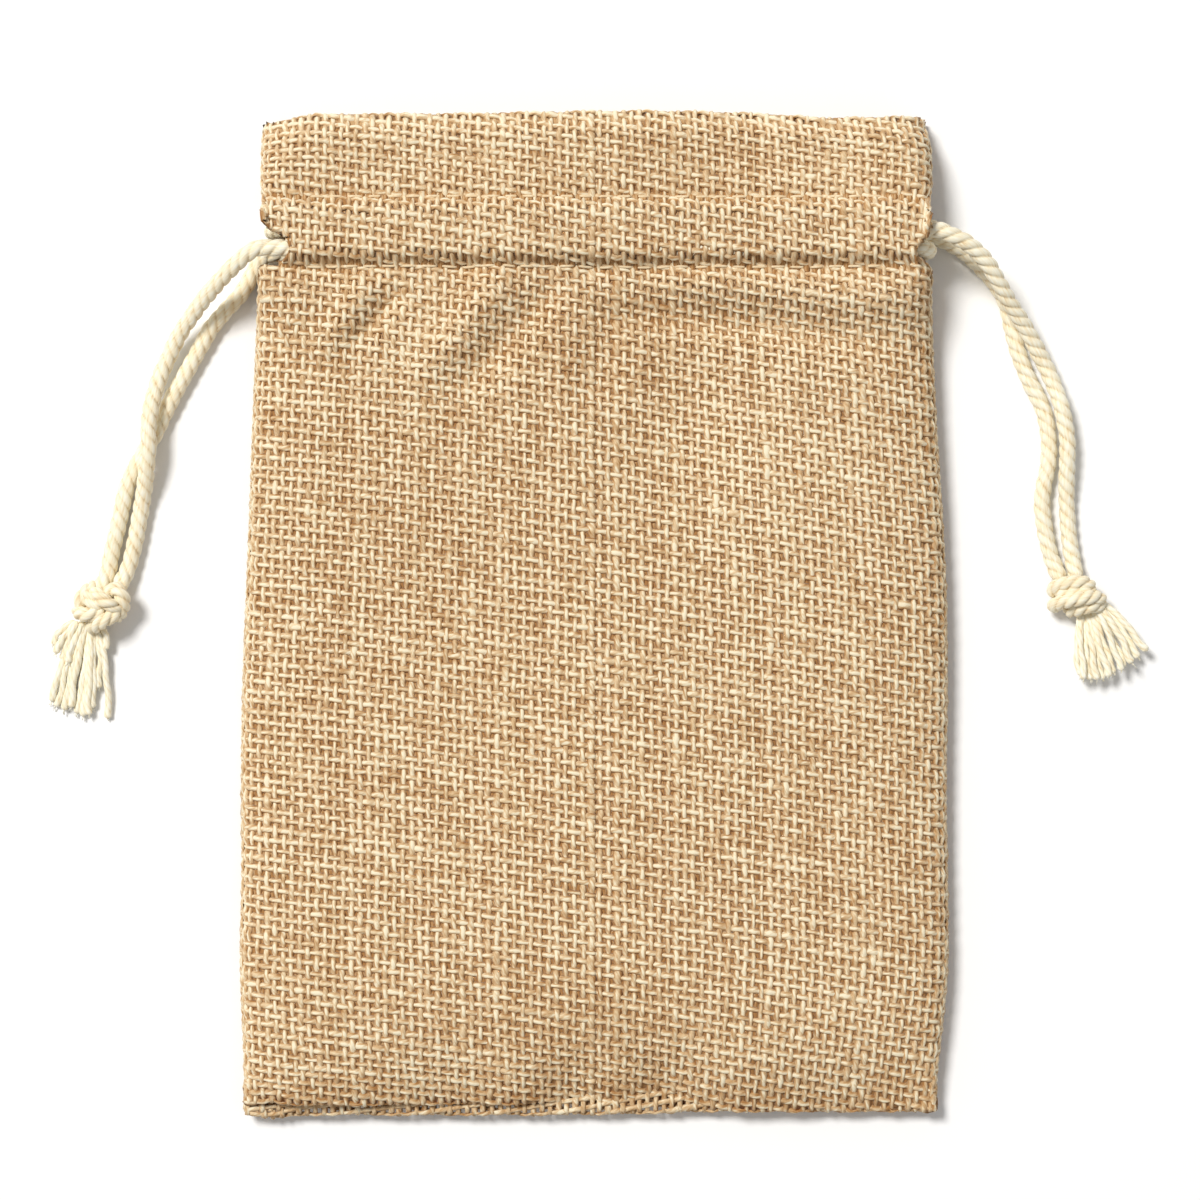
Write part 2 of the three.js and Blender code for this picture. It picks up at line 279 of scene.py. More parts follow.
def sweep(line, up, half_width, half_height, section):
    """Rings of a section along a line, with its height along up."""
    ahead = unit(np.gradient(line, axis=0))
    across = unit(np.cross(ahead, up))
    upright = np.cross(across, ahead)
    wide = np.reshape(half_width, (-1, 1, 1)) * section[None, :, :1]
    high = np.reshape(half_height, (-1, 1, 1)) * section[None, :, 1:]
    return line[:, None] + wide * across[:, None] + high * upright[:, None]


def fibre_places(length, section, radius, twist, squeeze, offset):
    """Places inside a twisted yarn, in millimetres, with its length squeezed."""
    corner = np.arctan2(section[:, 1], section[:, 0])
    angle = corner[None] - length[:, None] * twist
    along = np.broadcast_to(length[:, None] * squeeze / MM, angle.shape)
    reach = radius / MM
    places = np.stack([reach * np.cos(angle), reach * np.sin(angle), along], axis=-1)
    return places + offset


def wander(along, amplitude, wavelengths):
    """A smooth random curve, different for each call."""
    total = np.zeros_like(along)
    for wavelength in wavelengths:
        total += np.sin(along / wavelength * TAU + random.uniform(0, TAU))
    return total * amplitude / math.sqrt(len(wavelengths))


# ---------------------------------------------------------------- cords
STRANDS = 3
CORD_SIDES = 24
CORD_STEP = 0.3 * MM
CORD_PITCH = 5.4 * MM
GROOVE = 0.22  # depth of the grooves between strands, as a share of the radius
HINGE_X = 46.4 * MM  # where each tail turns, at the slit


def spline(points, step=CORD_STEP):
    """A smooth line through points in millimetres, with even steps."""
    points = np.array(points, float) * MM
    ends = np.vstack([2 * points[0] - points[1], points, 2 * points[-1] - points[-2]])
    fine = []
    t = np.linspace(0, 1, 24, endpoint=False)[:, None]
    for a, b, c, d in zip(ends, ends[1:], ends[2:], ends[3:]):
        fine.append(0.5 * (2 * b + (c - a) * t + (2 * a - 5 * b + 4 * c - d) * t**2
                           + (3 * b - a - 3 * c + d) * t**3))
    fine = np.vstack([*fine, points[-1:]])
    return even(fine, step)


def even(line, step):
    length = run_length(line)
    places = np.linspace(0, length[-1], max(int(length[-1] / step), 4) + 1)
    return np.stack([np.interp(places, length, line[:, i]) for i in range(3)], axis=1)


def carried_frame(line):
    """Two directions across a line that turn with it and don't spin."""
    ahead = unit(np.gradient(line, axis=0))
    side = np.cross(ahead[0], (0, 0, 1.0))
    sides = []
    for direction in ahead:
        side = side - direction * side.dot(direction)
        side = side / np.linalg.norm(side)
        sides.append(side)
    sides = np.array(sides)
    return sides, np.cross(ahead, sides)


def rounded_ends(length, radius):
    """A share of the radius that rounds a rope's two ends off."""
    from_end = np.minimum(length, length[-1] - length)
    inside = np.clip(from_end / radius, 0, 1)
    return np.sqrt(1 - (1 - inside) ** 2 * 0.97)


def add_rope(tubes, line, radius, pitch, phase=0.0, groove=GROOVE, tint=0.66, taper=1.0):
    """One rope of three strands laid round each other, as a fluted tube. The phase is where a
    strand lies, one radius in from the line's start."""
    side, over = carried_frame(line)
    length = run_length(line)
    angle = np.arange(CORD_SIDES) / CORD_SIDES * TAU
    crest = np.abs(np.cos(angle[None] * STRANDS / 2)) ** 0.6
    flute = 1 - groove + groove * crest
    turned = angle[None] + phase - (length[:, None] - radius) / pitch * TAU
    size = radius * rounded_ends(length, radius) * taper
    size = size * (1 + wander(length, 0.02, (5 * MM, 9 * MM, 17 * MM)))
    reach = size[:, None] * flute
    rings = (line[:, None] + (reach * np.cos(turned))[..., None] * side[:, None]
             + (reach * np.sin(turned))[..., None] * over[:, None])
    places = np.stack([
        radius / MM * np.cos(turned) * 2.6,
        radius / MM * np.sin(turned) * 2.6,
        np.broadcast_to(length[:, None] * 0.5 / MM, turned.shape),
    ], axis=-1) + random.uniform(0, 50, 3)
    shade = tint + wander(length, 0.05, (3 * MM, 11 * MM))[:, None]
    # The grooves between the strands are painted darker: painted shade.
    tubes.add(rings, shade - 0.36 * (1 - crest), places)


def turn_points(side, y, tip):
    """Points of a loop's turn at a slit, from the front strand to the back one."""
    middle = (FRONT_STRAND_Z + BACK_STRAND_Z) / 2
    rise = FRONT_STRAND_Z - middle
    reach = 3.6 * MM
    return [(side * (tip - reach + reach * math.cos(a)) / MM, y / MM,
             (middle + rise * math.sin(a)) / MM)
            for a in np.linspace(math.pi / 2, -math.pi / 2, 13)]


def cord_loop(name, side, y, tip):
    """The doubled run. Its ends are rounded about the tails' hinge, and side is where that is:
    the turn is at the other slit."""
    exit_x = side * (HINGE_X + CORD_RADIUS) / MM
    strand = np.linspace(exit_x, -side * (tip / MM - 4.6), 9)
    front = [(x, y / MM, FRONT_STRAND_Z / MM) for x in strand]
    back = [(x, y / MM, BACK_STRAND_Z / MM) for x in strand[::-1]]
    line = spline(front + turn_points(-side, y, tip) + back)
    tubes = Tubes()
    add_rope(tubes, line, CORD_RADIUS, CORD_PITCH)
    between_hinges = run_length(line)[-1] - 2 * CORD_RADIUS
    return tubes.make(name, cord_cotton), math.pi - between_hinges / CORD_PITCH * TAU


# The free tails, in millimetres, from the slit down to the floor and on to the knot.
LEFT_UPPER_TAIL = [
    (-46.4, 50.7, 11.1), (-47.6, 50.3, 11.0), (-48.8, 49.5, 10.6),
    (-50.6, 48.0, 9.6), (-52.4, 46.4, 8.2), (-54.0, 44.9, 6.8), (-55.5, 43.3, 5.5),
    (-56.8, 41.7, 4.5), (-58.1, 40.0, 3.7), (-59.2, 38.2, 3.1), (-60.2, 36.1, 2.8),
    (-61.2, 33.9, 2.9), (-62.0, 31.4, 3.3), (-62.6, 28.7, 3.8), (-62.9, 26.0, 4.1),
    (-62.9, 23.4, 4.0), (-63.2, 20.8, 3.4), (-63.6, 18.2, 2.4), (-64.1, 15.6, 1.6),
    (-64.6, 12.9, 1.4), (-65.2, 9.8, 1.4), (-66.1, 6.4, 1.5),
]
LEFT_LOWER_TAIL = [
    (-46.4, 50.7, 2.2), (-47.1, 50.1, 2.1), (-47.7, 49.3, 1.9),
    (-48.3, 48.4, 1.7), (-48.9, 47.3, 1.5), (-49.5, 46.2, 1.4), (-50.4, 44.9, 1.3),
    (-51.8, 43.4, 1.3), (-53.2, 41.8, 1.3), (-54.5, 40.2, 1.3), (-55.5, 38.4, 1.3),
    (-56.5, 36.6, 1.3), (-57.5, 34.8, 1.3), (-58.6, 32.8, 1.3), (-59.6, 31.0, 1.3),
    (-60.6, 29.0, 1.3), (-61.6, 26.9, 1.3), (-62.6, 24.9, 1.3), (-63.8, 22.9, 1.3),
    (-64.9, 21.0, 1.3), (-65.8, 19.2, 1.3), (-66.5, 17.2, 1.3), (-67.0, 14.9, 1.3),
    (-67.5, 12.5, 1.3), (-68.1, 10.0, 1.3), (-68.6, 7.8, 1.3), (-69.0, 5.7, 1.4),
]
RIGHT_UPPER_TAIL = [
    (46.4, 53.4, 11.1), (47.8, 53.1, 11.0), (49.3, 52.5, 10.8),
    (51.4, 51.5, 10.2), (53.0, 50.3, 9.5), (54.4, 48.9, 8.8), (55.6, 47.2, 8.0),
    (56.7, 45.5, 7.0), (57.7, 43.9, 6.0), (58.9, 42.3, 5.0), (60.1, 40.7, 4.1),
    (61.3, 38.8, 3.3), (62.5, 36.7, 2.5), (63.6, 34.7, 2.1), (64.6, 32.3, 2.3),
    (65.5, 29.6, 2.9), (66.1, 27.0, 2.9), (66.5, 24.2, 2.8), (66.5, 21.4, 2.6),
    (66.5, 18.6, 2.0), (66.6, 15.6, 1.4), (66.8, 12.2, 1.3), (67.1, 9.4, 1.4),
    (67.4, 7.6, 1.5),
]
RIGHT_LOWER_TAIL = [
    (46.4, 53.4, 2.2), (47.8, 53.1, 2.0), (49.3, 52.6, 1.7),
    (50.8, 51.9, 1.4), (52.3, 50.9, 1.3), (53.7, 49.7, 1.3), (55.0, 48.4, 1.3),
    (56.2, 47.0, 1.3), (57.3, 45.4, 1.3), (58.1, 43.5, 1.3), (58.6, 41.4, 1.3),
    (59.1, 39.2, 1.3), (59.7, 37.0, 1.3), (60.5, 34.8, 1.3), (61.4, 32.7, 1.3),
    (62.5, 30.6, 1.3), (63.4, 28.4, 1.3), (63.9, 25.9, 1.3), (64.1, 23.2, 1.3),
    (63.9, 20.6, 1.3), (63.4, 18.2, 1.3), (63.1, 15.8, 1.3), (63.3, 13.4, 1.3),
    (63.7, 10.8, 1.3), (64.2, 8.6, 1.4), (64.6, 7.4, 1.4),
]


def cord_tail(name, route, phase, into_knot):
    """A tail starts one radius inside its loop's rounded end, and its end runs into the knot."""
    x, y, z = route[0]
    inside = (x - math.copysign(CORD_RADIUS / MM, x), y, z)
    line = spline([inside, *route, into_knot])
    tubes = Tubes()
    add_rope(tubes, line, CORD_RADIUS, CORD_PITCH, phase)
    return tubes.make(name, cord_cotton), line


# Each knot's turns of cord, in millimetres.
LEFT_KNOT_TURNS = [
    [(-68.9, 2.4, 3.0), (-68.3, 3.1, 3.8), (-67.5, 3.4, 4.3), (-66.8, 2.9, 4.6),
     (-66.4, 2.0, 4.4), (-66.5, 1.0, 3.8), (-67.0, 0.1, 3.0), (-67.9, -0.8, 2.0)],
    [(-66.9, 0.9, 2.6), (-67.4, 0.1, 3.8), (-68.4, -0.6, 4.5), (-69.5, -1.2, 4.4),
     (-70.5, -1.7, 3.5), (-71.4, -2.1, 2.2)],
    [(-69.3, 0.6, 3.2), (-70.1, 0.1, 4.2), (-71.1, -0.2, 4.6), (-72.1, -0.1, 4.1),
     (-72.8, 0.2, 3.0), (-73.0, 0.8, 1.8)],
    [(-70.4, 4.0, 1.5), (-71.3, 3.4, 2.7), (-72.1, 2.6, 3.3), (-72.5, 1.7, 3.3),
     (-72.6, 0.8, 2.4)],
    [(-70.6, 3.2, 3.0), (-70.0, 2.6, 4.3), (-69.2, 1.9, 5.1), (-68.3, 1.4, 5.1),
     (-67.6, 0.9, 4.4), (-67.2, 0.2, 3.4)],
    [(-71.7, 3.1, 2.6), (-71.3, 2.4, 3.7), (-70.8, 1.6, 4.3), (-70.2, 0.8, 4.2),
     (-69.6, 0.1, 3.4)],
]
RIGHT_KNOT_TURNS = [
    [(64.5, 2.7, 1.5), (64.7, 3.5, 2.7), (65.4, 4.0, 3.7), (66.7, 4.3, 4.4),
     (68.1, 4.4, 4.4), (69.2, 4.0, 3.7), (70.0, 3.3, 2.6)],
    [(64.6, 0.7, 1.5), (64.8, 1.2, 2.8), (65.6, 1.6, 4.0), (66.9, 1.9, 4.8),
     (68.4, 2.2, 4.9), (69.7, 2.3, 4.4), (70.8, 2.1, 3.4), (71.4, 1.6, 2.1)],
    [(66.4, 0.5, 1.5), (67.3, 0.5, 2.7), (68.4, 0.8, 3.6), (69.6, 1.1, 3.7),
     (70.6, 1.1, 2.9), (71.3, 0.8, 1.8)],
    [(65.0, 2.4, 2.6), (65.9, 2.9, 3.6), (67.2, 3.2, 4.1), (68.6, 3.3, 4.0),
     (69.8, 3.0, 3.2)],
]
KNOT_CORD_RADIUS = 1.08 * MM


def cord_knot(name, cad_node, turns, core, phase):
    """A knot of several turns of the same cord over a packed core."""
    centre = np.array([middle_of(cad_node, 0), middle_of(cad_node, 1), 0])
    tubes = Tubes()
    for number, turn in enumerate(turns):
        add_rope(tubes, spline(turn), KNOT_CORD_RADIUS, CORD_PITCH * 0.8, phase + number,
                 groove=0.3, tint=0.6)
    half_x, half_y, half_z = core
    steps, sides = 14, 16
    along = np.linspace(0.05, math.pi - 0.05, steps)[:, None]
    around = np.arange(sides) / sides * TAU
    rings = np.stack(np.broadcast_arrays(
        -half_x * np.cos(along),
        half_y * np.sin(along) * np.cos(around),
        half_z + half_z * 0.95 * np.sin(along) * np.sin(around)), axis=-1) * MM + centre
    # The core's dark tint is painted shade, for the shade between the turns.
    tubes.add(rings, np.full((steps, sides), 0.2), rings / MM)
    return tubes.make(name, cord_cotton)


def cord_tassel(name, root, ends, spread_root):
    """Loose wavy yarns from a knot to their cut ends, each with a few fine hairs."""
    tubes = Tubes()
    for number, end in enumerate(ends):
        end = np.array(end, float)
        share = (number + 0.5) / len(ends) - 0.5
        start = np.array(root, float) + np.array([*spread_root, 0]) * share
        start[2] = 1.3 + 1.2 * random.random()
        reach = end - start
        across = np.array([-reach[1], reach[0], 0]) / np.linalg.norm(reach[:2])
        t = np.linspace(0, 1, 44)[:, None]
        bow = 0.4 * (random.random() - 0.5) + 1.0 * share
        line = start + reach * t + across * np.sin(t * math.pi) * bow
        line = line + across * wander(t, 0.16, (0.38, 0.61)) * t
        height = start[2] * (1 - t) ** 1.5 + end[2] * t + 0.5 * np.sin(t * math.pi)
        line[:, 2] = np.maximum(height[:, 0], 0.46)
        line = even(line * MM, 0.22 * MM)
        along = np.linspace(0, 1, len(line))
        radius = random.uniform(0.41, 0.48) * MM
        tint = 0.78 + random.uniform(-0.1, 0.1)
        add_rope(tubes, line, radius, 4.2 * MM, random.uniform(0, TAU), 0.12, tint,
                 1 + 0.2 * along**3)
        for _ in range(6):
            add_hair(tubes, line[-3], unit(line[-1] - line[-6]), 1.0 * MM, 0.045 * MM)
    return tubes.make(name, cord_cotton)


def add_hair(tubes, start, ahead, length, radius):
    """One fine fibre that leaves a yarn and curls away."""
    sway = random.normal(0, 0.38, 3)
    t = np.linspace(0, 1, 5)[:, None]
    line = start + (ahead * t + sway * t**2 * 0.6) * length * random.uniform(0.5, 1.0)
    line[:, 2] = np.maximum(line[:, 2], 1.5 * radius)
    rings = sweep(line, np.array([0.1, 0.2, 1.0]), radius, radius, oval(3))
    tubes.add(rings, np.full(rings.shape[:2], 0.9), rings / MM)


left_loop, left_lower_phase = cord_loop("left_cord_rope", -1, LEFT_CORD_Y, 46.5 * MM)
right_loop, right_lower_phase = cord_loop("right_cord_rope", 1, RIGHT_CORD_Y, 45.2 * MM)
left_upper, left_upper_line = cord_tail(
    "left_upper_rope", LEFT_UPPER_TAIL, math.pi, (-67.6, 3.2, 2.2))
left_lower, left_lower_line = cord_tail(
    "left_lower_rope", LEFT_LOWER_TAIL, left_lower_phase, (-70.2, 3.0, 2.4))
right_upper, right_upper_line = cord_tail(
    "right_upper_rope", RIGHT_UPPER_TAIL, math.pi, (67.9, 4.6, 2.2))
right_lower, right_lower_line = cord_tail(
    "right_lower_rope", RIGHT_LOWER_TAIL, right_lower_phase, (65.7, 4.4, 2.2))
left_knot = cord_knot("left_rope_knot", "left_knot", LEFT_KNOT_TURNS, (3.0, 2.4, 2.1), 0.4)
right_knot = cord_knot("right_rope_knot", "right_knot", RIGHT_KNOT_TURNS, (3.0, 2.0, 2.0), 1.7)
LEFT_TASSEL_ENDS = [
    (-76.8, -4.4, 1.6), (-76.3, -5.6, 2.2), (-75.4, -6.6, 1.4), (-74.5, -7.0, 2.2),
    (-77.2, -12.4, 0.8), (-76.3, -13.3, 0.6), (-75.3, -13.7, 0.9), (-74.3, -13.3, 1.3),
    (-73.4, -14.2, 0.6), (-72.6, -14.6, 0.8), (-71.8, -14.4, 1.2), (-71.1, -13.4, 0.9),
    (-70.4, -10.6, 1.0), (-69.1, -14.9, 0.6), (-69.3, -5.0, 1.8),
]
RIGHT_TASSEL_ENDS = [
    (68.3, -8.8, 1.8), (69.0, -9.3, 3.0), (69.8, -9.4, 2.0), (70.6, -9.4, 3.2),
    (71.5, -9.4, 2.2), (72.3, -9.0, 3.2), (73.1, -8.5, 2.4), (73.9, -8.1, 3.4),
    (74.7, -7.6, 2.4), (75.6, -7.0, 3.3), (76.6, -6.3, 2.2), (77.6, -5.4, 2.8),
]
left_tassel = cord_tassel("left_rope_tassel", (-71.9, -1.2, 2.0), LEFT_TASSEL_ENDS, (3.6, -0.2))
right_tassel = cord_tassel("right_rope_tassel", (69.9, 1.2, 2.0), RIGHT_TASSEL_ENDS, (3.0, 1.4))

for side, knot_piece, tassel_piece in (
    ("left", left_knot, left_tassel),
    ("right", right_knot, right_tassel),
):
    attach(knot_piece, f"{side}_tail")
    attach(tassel_piece, f"{side}_tail")
    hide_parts(f"{side}_knot")
    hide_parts(f"{side}_tassel")
for side, loop_piece in (("left", left_loop), ("right", right_loop)):
    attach(loop_piece, f"{side}_cord")
    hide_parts(f"{side}_cord_loop")
for side, which, tail_piece, line, knot_piece, tassel_piece in (
    ("left", "upper", left_upper, left_upper_line, left_knot, left_tassel),
    ("left", "lower", left_lower, left_lower_line, left_knot, left_tassel),
    ("right", "upper", right_upper, right_upper_line, right_knot, right_tassel),
    ("right", "lower", right_lower, right_lower_line, right_knot, right_tassel),
):
    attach(tail_piece, f"{side}_tail")
    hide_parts(f"{side}_{which}_tail")

# ---------------------------------------------------------------- the cloth's surfaces
WARP_PITCH = 1.197 * MM
WEFT_PITCH = 1.366 * MM
WARP_WIDTH = 0.84 * MM
WEFT_WIDTH = 0.76 * MM
YARN_THICK = 0.44 * MM
CRIMP = 0.17 * MM
# Corners of a yarn's section, as shares of its half width and half thickness, and the tint of
# each. Its narrow crest is painted light as a highlight, and its sides and the loose brown
# fibres spread out at its foot are painted darker as shade.
VISIBLE_SECTION = np.array([(0.75, 0.3), (0.3, 0.95), (-0.3, 0.95), (-0.75, 0.3),
                            (-1.28, -0.7), (1.28, -0.7)])
VISIBLE_PAINTED_SHADING = np.array([-0.05, 0.42, 0.42, -0.05, -0.22, -0.22])
HIDDEN_SECTION = oval(5)
# The hidden yarns are painted lighter on top and darker underneath: painted light and shade.
HIDDEN_PAINTED_SHADING = 0.2 * HIDDEN_SECTION[:, 1]
# The short fibres that close the holes between the front's yarns, as flat strips. Their dark
# brown is partly painted shade, standing for the shade seen through the weave's holes.
LINT_SECTION = np.array([(1.0, 0.2), (-1.0, 0.2), (-1.0, -0.2), (1.0, -0.2)])
LINT_AND_HOLE_SHADE_TINT = 0.02
LINT_REACH = 0.4 * WARP_PITCH  # half the width of a strip
LINT_THICK = 0.2 * MM
LINT_DEPTH = 0.12 * MM  # under the middle of the cloth
HALF_ACROSS = 49.9 * MM  # of cloth, from the middle to a side edge
# Extra warp yarns for the front's steep sides, where its cloth is deeper than it is wide.
WALL_SPOTS = [49.32 * MM, 49.82 * MM, 49.89 * MM]
ALLOWANCE = 7.5 * MM
HEM_LENGTH = 22.3 * MM
FOLD_LENGTH = 2.4 * MM  # of the folds at the mouth and bottom, all the way across
FRONT_FOLD = 0.55 * MM  # radius that the front cloth folds round at the seams
BACK_FOLD = 0.38 * MM
MOUTH_FOLD = 0.5 * MM
HEM_SHARE = 0.9  # how far across the hem reaches
EDGE_Z = 2.15 * MM
BACK_Z = 0.55 * MM
ROLL_Z = 1.6 * MM  # how far the bottom edge is lifted off the floor
BELLY_Z = 9.6 * MM
ROW_Z = 11.1 * MM
CHANNEL_Z = 13.0 * MM
SLIT_Z = 12.7 * MM  # of the front cloth's edge over the cords
HEM_Z = 9.2 * MM
LIP = 1.1 * MM  # how far in the cloth's edge leans where it is over the cords


def smooth(t):
    t = np.clip(t, 0, 1)
    return t * t * (3 - 2 * t)


def bell(place, middle, reach):
    return np.exp(-(((place - middle) / reach) ** 2))


def half_width(right, y):
    """Half the pouch's width on its left or right side, without its slit."""
    rise = smooth((y + 15 * MM) / (75 * MM))
    plain = BELLY_HALF - np.where(right, 2.6, 2.5) * MM * rise
    lean = np.where(right, -0.1, 0.1) * MM * (1 - rise)
    ripple = 0.15 * MM * np.sin(y / (9.5 * MM) + np.where(right, 1.0, 4.0))
    corner = np.where(right, 0.8, 0.0) * MM * smooth((y - 65 * MM) / (6 * MM))
    bottom = np.where(right, 1.7, 0.3) * MM * smooth((-46 * MM - y) / (24 * MM))
    bulge = np.where(right, 0.0, 0.5) * MM * bell(y, -50 * MM, 11 * MM)
    return plain + lean + ripple + bulge - corner - bottom


# How far in from the side the cloth is folded back at each slit, and how high, in millimetres.
LEFT_SLIT = [(48.2, 0.0), (48.7, 3.6), (49.6, 4.3), (50.6, 4.5), (51.6, 4.0), (52.6, 2.4),
             (53.4, 0.8), (54.2, 0.0)]
RIGHT_SLIT = [(47.4, 0.0), (48.6, 0.8), (49.5, 1.9), (50.3, 2.2), (51.0, 1.5), (52.0, 0.5),
              (53.4, 0.0)]


def slit_depth(right, y):
    """How far in from the side the cloth is folded back at the slits."""
    left_y, left_depth = np.array(LEFT_SLIT).T * MM
    right_y, right_depth = np.array(RIGHT_SLIT).T * MM
    return np.where(right, np.interp(y, right_y, right_depth), np.interp(y, left_y, left_depth))


def edge_across(right, y):
    """How much cloth there is from the middle to the fold at the side."""
    return HALF_ACROSS * (1 - slit_depth(right, y) / half_width(right, y))


def ridge(x, y, start, end, reach, height):
    """A soft fold that runs from start to end."""
    start = np.array(start) * MM
    end = np.array(end) * MM
    way = end - start
    length = np.linalg.norm(way)
    way = way / length
    along = ((x - start[0]) * way[0] + (y - start[1]) * way[1]) / length
    off = (x - start[0]) * way[1] - (y - start[1]) * way[0]
    ends = smooth(along / 0.25 + 0.6) * smooth((1.2 - along) / 0.5)
    return height * MM * np.exp(-((off / (reach * MM)) ** 2)) * ends


def undulation(x, y):
    """The cloth's gentle folds and hollows."""
    soft = (0.30 * np.sin(x / (11 * MM) + 1.3 + y / (40 * MM))
            + 0.26 * np.sin(x / (17 * MM) - y / (23 * MM))
            + 0.20 * np.sin(y / (9 * MM) + x / (31 * MM))) * MM
    folds = (ridge(x, y, (-33.0, 45.5), (-39.5, 36.0), 2.0, 1.2)
             + ridge(x, y, (-28.5, 44.5), (-34.5, 37.5), 1.6, -1.0)
             + ridge(x, y, (-13.5, 46.0), (-25.0, 32.5), 2.7, 1.5)
             + ridge(x, y, (-6.0, 45.0), (-19.0, 31.0), 2.4, -1.1)
             + ridge(x, y, (12.0, 46.0), (47.0, 43.0), 2.2, 1.3)
             + ridge(x, y, (6.0, 41.5), (44.0, 37.5), 2.7, -1.5)
             + ridge(x, y, (2.0, 42.0), (0.0, 29.0), 3.6, -1.0))
    hollow = (-2.2 * MM * bell(x, 13 * MM, 11 * MM) * bell(y, 29 * MM, 15 * MM)
              - 2.2 * MM * bell(x, 6 * MM, 13 * MM) * bell(y, -67 * MM, 10 * MM))
    crumple = 0.55 * MM * np.sin(x / (3.4 * MM) + 2 * np.sin(x / (11 * MM)))
    hollow = hollow + crumple * smooth((-58 * MM - y) / (8 * MM))
    header = smooth((y - UPPER_ROW_Y) / (6 * MM)) * (
        0.5 * MM * np.sin(x / (8 * MM) + 0.6) - 0.5 * MM * bell(x, 19 * MM, 7 * MM))
    return soft + folds + hollow + header


def at_slit(right, y):
    """1 where the cloth's edge has to pass over the cords, falling smoothly to 0."""
    from_below = np.where(right, smooth((y - 47.4 * MM) / (2.6 * MM)),
                          smooth((y - 48.0 * MM) / (3.0 * MM)))
    return from_below * smooth((61.5 * MM - y) / (7.5 * MM))


# Where the cloth is sucked in below the channel's lower stitching, and how far along it, in
# millimetres.
POCKETS = [(-40, 3), (-18.6, 2.5), (0, 2.5), (8, 3), (14.6, 2), (22, 3), (31, 4)]


def front_height(u, y, channel_rise=CHANNEL_Z - ROW_Z):
    """Middle of the front cloth over the floor; u is the place across, from -1 to 1."""
    to_neck = smooth((y + 5 * MM) / (52 * MM))
    level = 0.9 * smooth((y - 34 * MM) / (14 * MM)) * smooth((84 * MM - y) / (27 * MM))
    past = np.clip((np.abs(u) - level) / (1 - level), 0, 1)
    arch = (1 - past**5) ** 0.33
    to_bottom = np.clip((-20 * MM - y) / (-20 * MM - BOTTOM_Y), 0, 1)
    top = BELLY_Z + (ROW_Z - BELLY_Z) * to_neck
    edge = EDGE_Z + (SLIT_Z - EDGE_Z) * at_slit(u > 0, y)
    low = EDGE_Z + ROLL_Z * to_bottom**9
    belly = low + (top - low) * (1 - to_bottom**9) * arch
    base = np.where(y > 40 * MM, edge + (top - edge) * arch, belly)
    channel = smooth((y - LOWER_ROW_Y) / (1.9 * MM)) * smooth((UPPER_ROW_Y - y) / (2.2 * MM))
    channel = channel * channel_rise
    x = u * BELLY_HALF
    pucker = 0.1 + 0.15 * np.sin(x / (1.9 * MM))
    for place, reach in POCKETS:
        pucker = pucker + bell(x, place * MM, reach * MM)
    pulled = MM * (0.45 * bell(y, UPPER_ROW_Y, 0.8 * MM)
                   + 0.2 * bell(y, LOWER_ROW_Y, 0.9 * MM)
                   + 0.75 * pucker * bell(y, LOWER_ROW_Y - 0.6 * MM, 1.5 * MM)
                   + 1.5 * smooth((y - TOP_Y + 4 * MM) / (4 * MM)) ** 2)
    return base + channel * (1 - 0.3 * past) - pulled + undulation(x, y) * np.minimum(arch, 1)


def mouth_dip(x):
    """The mouth's edge isn't quite straight."""
    return (0.25 * np.sin(x / (14 * MM) + 0.8) - 0.9 * smooth((-x - 38 * MM) / (8 * MM))
            - 0.6 * bell(x, 33 * MM, 9 * MM) - 0.8) * MM


def bottom_lift(x, inside, front):
    """How far a bottom edge is above the straight panel's: the front's is drawn up on the
    left half, so the back's shows below it, and the back's left corner is rolled out."""
    if front:
        lift = 0.9 * smooth((24 * MM - x) / (30 * MM)) - 0.2 * smooth(x / (20 * MM))
    else:
        lift = 0.2 - 0.6 * smooth((24 * MM - x) / (30 * MM)) - 0.6 * bell(x, -45.5 * MM, 2.6 * MM)
    return lift * MM * smooth(1 - inside / (9 * MM))


def round_fold(past, radius, most):
    """Angle round a fold, and the length of cloth beyond it."""
    return np.minimum(past / radius, most), np.maximum(past - radius * most, 0)


def front_cloth(across, along):
    """A point of the front cloth: across from its middle line, along from its bottom edge.
    Past the edges it folds in: the seam allowances at the sides and bottom, the hem at the
    mouth."""
    return folded(across, along, True)


def back_cloth(across, along):
    return folded(across, along, False)


